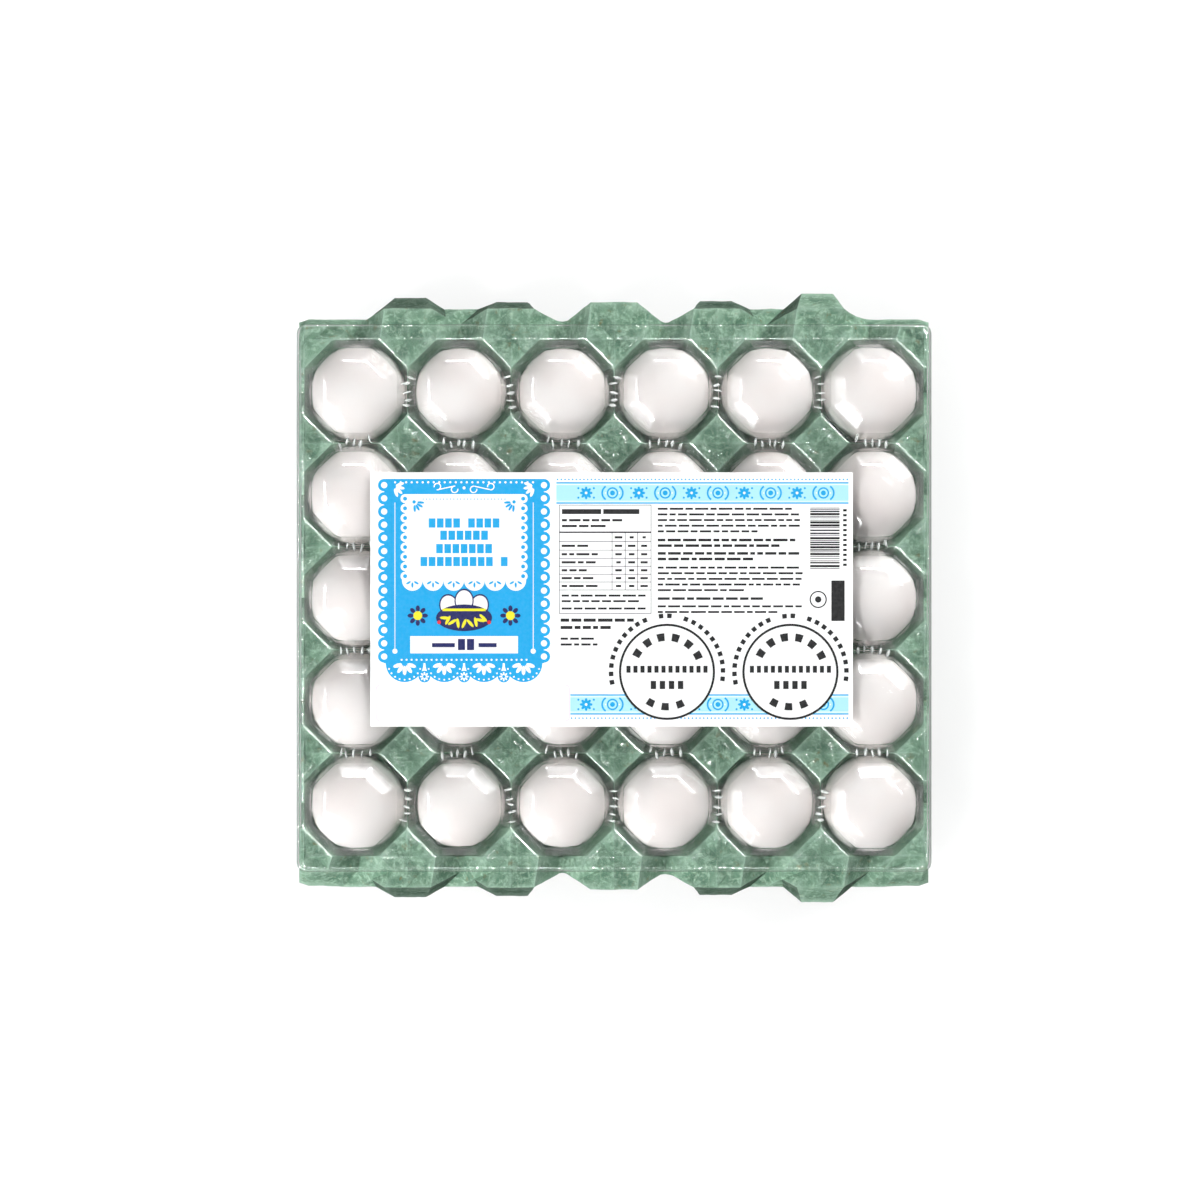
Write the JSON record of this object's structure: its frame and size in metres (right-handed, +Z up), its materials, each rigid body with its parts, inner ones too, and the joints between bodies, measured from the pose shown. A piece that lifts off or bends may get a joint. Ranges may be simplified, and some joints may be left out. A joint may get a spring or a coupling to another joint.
{
  "type": "egg tray pack",
  "caption": "Moulded pulp tray of white hens' eggs, each in its own cup, under a clear domed cover with a paper label.",
  "frame": {"origin": "on the table under the middle of the tray", "axes": "+X along the longer side of the tray, +Y along its shorter side towards the back, +Z up"},
  "size_m": [0.3, 0.2902, 0.0633],
  "materials": {
    "pulp": "matt recycled pulp, mid green",
    "eggshell": "satin white shell",
    "clear_film": "clear glossy thermoformed film",
    "label_paper": "smooth white paper with plain printed shapes"
  },
  "bodies": {
    "root": {"tray": "pulp", "egg_r1_c1": "eggshell", "egg_r1_c2": "eggshell", "egg_r1_c3": "eggshell", "egg_r1_c4": "eggshell", "egg_r1_c5": "eggshell", "egg_r1_c6": "eggshell", "egg_r2_c1": "eggshell", "egg_r2_c2": "eggshell", "egg_r2_c3": "eggshell", "egg_r2_c4": "eggshell", "egg_r2_c5": "eggshell", "egg_r2_c6": "eggshell", "egg_r3_c1": "eggshell", "egg_r3_c2": "eggshell", "egg_r3_c3": "eggshell", "egg_r3_c4": "eggshell", "egg_r3_c5": "eggshell", "egg_r3_c6": "eggshell", "egg_r4_c1": "eggshell", "egg_r4_c2": "eggshell", "egg_r4_c3": "eggshell", "egg_r4_c4": "eggshell", "egg_r4_c5": "eggshell", "egg_r4_c6": "eggshell", "egg_r5_c1": "eggshell", "egg_r5_c2": "eggshell", "egg_r5_c3": "eggshell", "egg_r5_c4": "eggshell", "egg_r5_c5": "eggshell", "egg_r5_c6": "eggshell", "cover": "clear_film", "label": "label_paper"}
  },
  "joints": []
}
